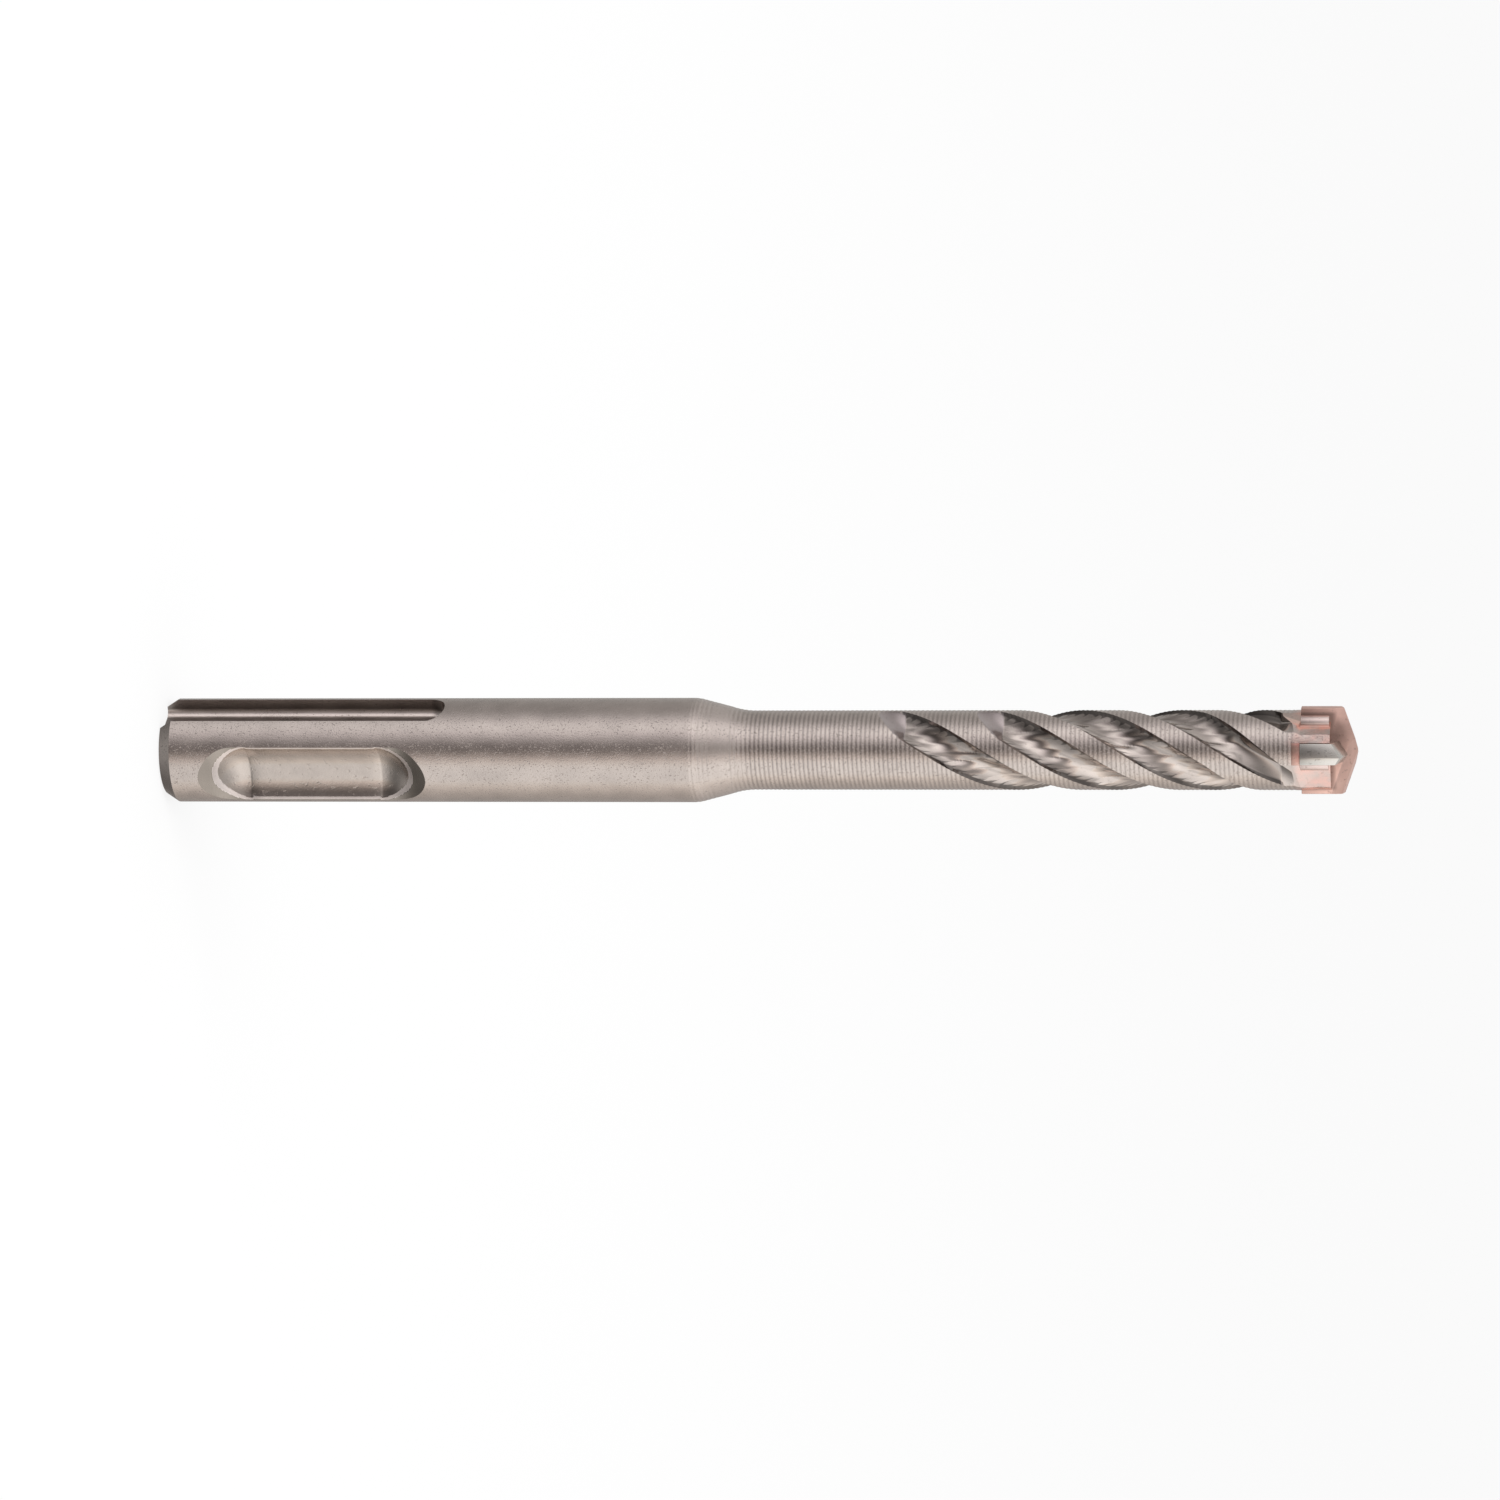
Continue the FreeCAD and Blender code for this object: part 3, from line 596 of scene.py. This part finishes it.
runout_steel = metal("runout_steel", RUNOUT_COLOUR, roughness=0.16, pit_scale=2600.0, grain_scale=6000.0,
                     relief=0.003, pit_dark=0.15)
steel = mesh_object("steel_bar", bar, [
    turned_steel, milled_steel, flute_steel, groove_steel,
    pocket_steel, ramp_steel, rim_highlight_steel, runout_steel,
])

# Steel body, its cuts: the milled drive grooves and locking recesses of the shank, and at the head
# the crossed slots for the carbide and the four ground gullets ahead of the cutting edges. Each
# cutter is drawn in millimetres on the +X side, turned to its place and taken out of the bar.
OUTSIDE = 8.0
CLEARANCE = 1.0
OVERLAP = 0.003
GROOVE_HALF_WIDTH = 1.8
GROOVE_LENGTH = 27.8
GROOVE_CORNER = 0.7
GROOVE_OVERRUN = 5.0
GROOVE_SIDES = 64
# A locking recess is a flat with ramped ends, and in it a channel with ball ends and a bevelled rim
# whose light colour is a painted highlight.
RECESS_START = 3.83
RECESS_END = 26.14
RECESS_HALF_WIDTH = 3.06
RECESS_RAMP = math.radians(25)
RAMP_BLEND = 1.2
BALL_INSET = 4.88
BALL_RADIUS = 4.33
CHANNEL_RADIUS = 4.25
CHANNEL_FLOOR = 2.8
STEP_BLEND = 0.4
RIM_BEVEL_END = 0.11
RIM_BEVEL_SIDE = 0.05
RECESS_REACH = 5.6
RECESS_ROWS = 72
ROW_GATHERING = 0.8
RECESS_END_STEPS = 96
RECESS_SIDE_STEPS = 16
HEAD_TURN = 151.5
CUTTER_SEAT = 109.7
SLOT_HALF_WIDTH = 1.05
BRAZE_DEPTH = 0.8
GULLET_CORNER = 2.8
GULLET_WALL = math.radians(23.5)
GULLET_RUNOUT = 3.0
GULLET_RISE = 1.0

recess_flat = math.sqrt(SHANK_RADIUS ** 2 - RECESS_HALF_WIDTH ** 2)
ramp_slope = math.tan(RECESS_RAMP)
flat_start = RECESS_START + (SHANK_RADIUS - recess_flat) / ramp_slope
flat_end = RECESS_END - (SHANK_RADIUS - recess_flat) / ramp_slope
channel_axis = CHANNEL_FLOOR + CHANNEL_RADIUS
first_ball = RECESS_START + BALL_INSET
last_ball = RECESS_END - BALL_INSET
mouth = math.sqrt(BALL_RADIUS ** 2 - (channel_axis - recess_flat) ** 2)


def cutter(name, bm, turn, finish=None):
    """A cutting shape turned about the bit's axis; with no finish given, its faces keep their own."""
    about_axis = Matrix.Rotation(math.radians(turn), 3, "Z")
    bmesh.ops.scale(bm, vec=(MM, MM, MM), verts=bm.verts[:])
    bmesh.ops.rotate(bm, cent=(0, 0, 0), matrix=about_axis, verts=bm.verts[:])
    if finish is not None:
        for face in bm.faces:
            face.material_index = finish
    return mesh_object(name, bm)


def groove_cutter(turn):
    """A plug with round ends that runs past the striking face, its floor's corners rounded."""
    along_x = Matrix.Rotation(math.pi / 2, 4, "Y") @ Matrix.Rotation(math.pi / GROOVE_SIDES, 4, "Z")
    middle = Matrix.Translation(((GROOVE_FLOOR + OUTSIDE) / 2, 0, -GROOVE_OVERRUN))
    bm = bmesh.new()
    bmesh.ops.create_cone(bm, cap_ends=True, segments=GROOVE_SIDES, radius1=GROOVE_HALF_WIDTH,
                          radius2=GROOVE_HALF_WIDTH, depth=OUTSIDE - GROOVE_FLOOR,
                          matrix=middle @ along_x)
    front = [v for v in bm.verts if v.co.z > -GROOVE_OVERRUN]
    length = GROOVE_LENGTH - GROOVE_HALF_WIDTH + GROOVE_OVERRUN
    bmesh.ops.translate(bm, vec=(0, 0, length), verts=front)
    floor_edges = [e for e in bm.edges if all(v.co.x < SHANK_RADIUS for v in e.verts)]
    bmesh.ops.bevel(bm, geom=floor_edges, offset=GROOVE_CORNER, segments=5, profile=0.5, affect="EDGES",
                    material=-1, clamp_overlap=True)
    return cutter("groove_cutter", bm, turn, GROOVE)


def recess_depth(y, z):
    """Distance of a recess's surface from the axis, and its finish: ramp and flat, pocket or bevelled rim
    with a painted highlight.
    """
    past_flat = max(flat_start - z, z - flat_end, -RAMP_BLEND)
    if past_flat < RAMP_BLEND:
        past_flat = (past_flat + RAMP_BLEND) ** 2 / (4 * RAMP_BLEND)
    level = recess_flat + ramp_slope * past_flat
    past_ball = max(first_ball - z, z - last_ball)
    out = min(max(past_ball / STEP_BLEND + 0.5, 0), 1)
    beyond = max(past_ball, 0)
    radius = CHANNEL_RADIUS + (BALL_RADIUS - CHANNEL_RADIUS) * out
    pocket = channel_axis - math.sqrt(max(radius ** 2 - y ** 2 - beyond ** 2, 0))
    bevel = RIM_BEVEL_SIDE + (RIM_BEVEL_END - RIM_BEVEL_SIDE) * min(beyond / mouth, 1)
    bevelled = (level + pocket) / 2 - bevel
    if bevelled < min(level, pocket):
        return bevelled, RIM_HIGHLIGHT
    return (level, RAMP) if level < pocket else (pocket, POCKET)


def recess_spot(step, away):
    """Y and Z on a recess's plan: step counts round it, and away is out from the balls' middle line."""
    half, step = divmod(step, RECESS_END_STEPS + RECESS_SIDE_STEPS)
    side = 1 if half % 2 == 0 else -1
    centre, other = (last_ball, first_ball) if side > 0 else (first_ball, last_ball)
    if step < RECESS_END_STEPS:
        turn = math.pi * step / RECESS_END_STEPS
        return away * math.cos(turn) * side, centre + side * away * math.sin(turn)
    along = (step - RECESS_END_STEPS) / RECESS_SIDE_STEPS
    return -away * side, centre + (other - centre) * along


def recess_cutter(turn):
    """A grid bent round the balls' middle line, sunk to the recess's surface and closed outside the bar."""
    around_steps = 2 * (RECESS_END_STEPS + RECESS_SIDE_STEPS)
    bm = bmesh.new()
    bmesh.ops.create_grid(bm, x_segments=around_steps, y_segments=RECESS_ROWS, size=1.0)
    for v in bm.verts:
        away = RECESS_REACH * ((v.co.y + 1) / 2) ** ROW_GATHERING
        y, z = recess_spot(round((v.co.x + 1) / 2 * around_steps), away)
        v.co = Vector((recess_depth(y, z)[0], y, z))
    for face in bm.faces:
        middle = face.calc_center_median()
        face.material_index = recess_depth(middle.y, middle.z)[1]
    bmesh.ops.remove_doubles(bm, verts=bm.verts[:], dist=GRID_SLACK)
    rim = [e for e in bm.edges if e.is_boundary]
    for item in bmesh.ops.extrude_edge_only(bm, edges=rim)["geom"]:
        if isinstance(item, bmesh.types.BMVert):
            item.co.x = OUTSIDE
    bmesh.ops.holes_fill(bm, edges=[e for e in bm.edges if e.is_boundary], sides=around_steps)
    bmesh.ops.recalc_face_normals(bm, faces=bm.faces[:])
    return cutter("recess_cutter", bm, turn)


def slot_cutter(turn, seat):
    """A block across the whole head, down to the seat of a cutter."""
    low = Vector((-OUTSIDE, -SLOT_HALF_WIDTH, seat))
    high = Vector((OUTSIDE, SLOT_HALF_WIDTH, JAW_FRONT + CLEARANCE))
    bm = bmesh.new()
    bmesh.ops.create_cube(bm, size=1.0)
    bmesh.ops.scale(bm, vec=high - low, verts=bm.verts[:])
    bmesh.ops.translate(bm, vec=(high + low) / 2, verts=bm.verts[:])
    return cutter("slot_cutter", bm, turn, MILLED)


def gullet_cutter(turn):
    """A wedge beside one cutting edge, which rises out of the neck below the head."""
    near = SLOT_HALF_WIDTH - OVERLAP
    far = near + NECK_RADIUS
    heel = GULLET_CORNER - NECK_RADIUS * math.tan(GULLET_WALL)
    corners = ((GULLET_CORNER, near), (OUTSIDE, near), (OUTSIDE, far), (heel, far))
    foot = CUTTER_SEAT - GULLET_RUNOUT
    bm = bmesh.new()
    end = bm.faces.new([bm.verts.new((x + GULLET_RISE, y, foot)) for x, y in corners])
    for z, outward in ((CUTTER_SEAT, -GULLET_RISE), (JAW_FRONT + CLEARANCE, 0)):
        raised = bmesh.ops.extrude_face_region(bm, geom=[end])["geom"]
        end = [item for item in raised if isinstance(item, bmesh.types.BMFace)][0]
        for v in end.verts:
            v.co += Vector((outward, 0, z - v.co.z))
    inner = [face for face in bm.faces if all(len(edge.link_faces) > 2 for edge in face.edges)]
    bmesh.ops.delete(bm, geom=inner, context="FACES_ONLY")
    bmesh.ops.recalc_face_normals(bm, faces=bm.faces[:])
    return cutter("gullet_cutter", bm, turn, MILLED)


def cut_away(piece, shapes):
    """Cut the shapes out of a piece for good, and take the shapes away."""
    for shape in shapes:
        cut = piece.modifiers.new(shape.name, "BOOLEAN")
        cut.operation = "DIFFERENCE"
        cut.solver = "EXACT"
        cut.object = shape
    bpy.context.view_layer.update()
    evaluated = piece.evaluated_get(bpy.context.evaluated_depsgraph_get())
    finished = bpy.data.meshes.new_from_object(evaluated)
    piece.modifiers.clear()
    piece.data = finished
    for shape in shapes:
        bpy.data.objects.remove(shape)


def soften(piece, limit):
    """Shade a piece smooth, with every edge sharper than the limit in degrees left crisp."""
    piece.data.polygons.foreach_set("use_smooth", [True] * len(piece.data.polygons))
    piece.data.set_sharp_from_angle(angle=math.radians(limit))


cutters = [groove_cutter(turn) for turn in (0, 180)]
cutters += [recess_cutter(turn) for turn in (90, 270)]
cutters += [slot_cutter(HEAD_TURN, CUTTER_SEAT), slot_cutter(HEAD_TURN + 90, CUTTER_SEAT - BRAZE_DEPTH)]
cutters += [gullet_cutter(HEAD_TURN + turn) for turn in (0, 90, 180, 270)]
cut_away(steel, cutters)
soften(steel, limit=24)
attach(steel, "root")
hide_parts("steel_body")

# Main plate: one piece of sintered carbide across the whole head, ground to a chisel point and
# brazed into its slot. The braze's copper colours it, and a brown painted shadow lies on it above the
# steel.
PLATE_COLOUR = (0.94, 0.62, 0.53)
# A copy of a piece is merged and its flat faces joined, before its sharp edges are rounded.
COPY_MERGE_REACH = 0.001
FLAT_ANGLE = math.radians(1)
SHARP_ANGLE = math.radians(20)
EDGE_ROUND = 0.035
# The painted shadow beside the side inserts: its heights above the steel, its reach from the axis, and the
# tone that it gives.
SHADOW_LOW = 0.4
SHADOW_HIGH = 2.0
SHADOW_RANGE = 3.3
SHADOW_ACROSS = [(0.0, 0.0), (0.36, 0.25), (0.5, 1.0), (0.72, 1.0), (1.0, 0.0)]
SHADOW_SCALE = 900.0
SHADOW_RAGGED = 1.2
SHADOW_LEAST = 0.2
SHADOW_TONES = [(0.0, 1.05), (0.35, 0.62), (0.8, 0.30)]
# A second, narrow painted shadow along the plate's foot, as far out as the steel goes.
FOOT_SHADOW = 0.55
FOOT_LOW = 0.1
FOOT_HIGH = 0.6
FOOT_INNER = 3.5
FOOT_OUTER = 3.8


def plate_painted_shadow(tree):
    """Lightness of the main plate: a brown painted shadow above the steel, most of it on one side, and a
    narrow one along its foot.
    """
    place = object_place(tree)
    parts = turned_parts(tree, place, -math.radians(HEAD_TURN))
    upward = map_range(tree, parts["Z"], (JAW_FRONT + SHADOW_LOW) * MM, (JAW_FRONT + SHADOW_HIGH) * MM,
                       1.0, 0.0)
    across = map_range(tree, parts["X"], -SHADOW_RANGE * MM, SHADOW_RANGE * MM)
    clouds = noise(tree, place, SHADOW_SCALE, detail=3.0)
    ragged = math_node(tree, "MULTIPLY_ADD", clouds, SHADOW_RAGGED, SHADOW_LEAST)
    shadow_share = math_node(tree, "MULTIPLY", upward, ragged)
    shadow_share = math_node(tree, "MULTIPLY", shadow_share, ramp(tree, across, SHADOW_ACROSS))
    foot = map_range(tree, parts["Z"], (JAW_FRONT + FOOT_LOW) * MM, (JAW_FRONT + FOOT_HIGH) * MM,
                     FOOT_SHADOW, 0.0)
    outward = math_node(tree, "ABSOLUTE", parts["X"])
    within = map_range(tree, outward, FOOT_INNER * MM, FOOT_OUTER * MM, 1.0, 0.0)
    shadow_share = math_node(tree, "MAXIMUM", shadow_share, math_node(tree, "MULTIPLY", foot, within))
    return ramp(tree, shadow_share, SHADOW_TONES)


def finished_copy(name, node_name, material):
    """A copy of a piece of the frame with its edges broken."""
    bm = bmesh.new()
    bm.from_mesh(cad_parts[node_name].data)
    bmesh.ops.remove_doubles(bm, verts=bm.verts[:], dist=COPY_MERGE_REACH * MM)
    bmesh.ops.dissolve_limit(bm, angle_limit=FLAT_ANGLE, verts=bm.verts[:], edges=bm.edges[:])
    sharp = [e for e in bm.edges if e.is_manifold and e.calc_face_angle(0) > SHARP_ANGLE]
    bmesh.ops.bevel(bm, geom=sharp, offset=EDGE_ROUND * MM, segments=2, profile=0.5, affect="EDGES",
                    material=-1, clamp_overlap=True)
    for face in bm.faces:
        face.material_index = 0
    piece = mesh_object(name, bm, [material])
    soften(piece, limit=30)
    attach(piece, "root")
    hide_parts(node_name)


carbide_with_painted_shadow = metal("carbide_with_painted_shadow", PLATE_COLOUR, roughness=0.33, pit_scale=2500.0,
                        grain_scale=3000.0, relief=0.008, pit_dark=0.3, painted_light_and_shade=plate_painted_shadow)
finished_copy("main_plate", "main_cutter", carbide_with_painted_shadow)

# Side inserts: two half-width pieces of the same carbide, which butt against the main plate a little
# below its point. They are brazed in and then ground, so they are clean and grey.
CARBIDE_COLOUR = (0.78, 0.75, 0.70)

carbide = metal("ground_carbide", CARBIDE_COLOUR, roughness=0.26, pit_scale=3000.0, grain_scale=8000.0,
                relief=0.002, pit_dark=0.3)
for number in (1, 2):
    finished_copy("side_insert_%d" % number, "side_cutter_%d" % number, carbide)

# Braze: the copper alloy that holds the carbide. It fills the bottom of the cross slot under the
# inserts, mottled with red scale, and stands as four paler beads ahead of the cutting edges.
BRAZE_COLOUR = (0.74, 0.50, 0.42)
BRAZE_RED = (0.50, 0.19, 0.17)
BEAD_COLOUR = (0.90, 0.74, 0.69)

braze = metal("braze", BRAZE_COLOUR, roughness=0.32, pit_scale=2500.0, grain_scale=2200.0,
              relief=0.02, pit_dark=0.25, tint=BRAZE_RED)
bead_braze = metal("bead_braze", BEAD_COLOUR, roughness=0.38, pit_scale=2500.0, grain_scale=2200.0,
                   relief=0.012, pit_dark=0.2)
finished_copy("braze_under_inserts", "braze_seat", braze)
for number in (1, 2, 3, 4):
    finished_copy("braze_bead_%d" % number, "braze_fillet_%d" % number, bead_braze)
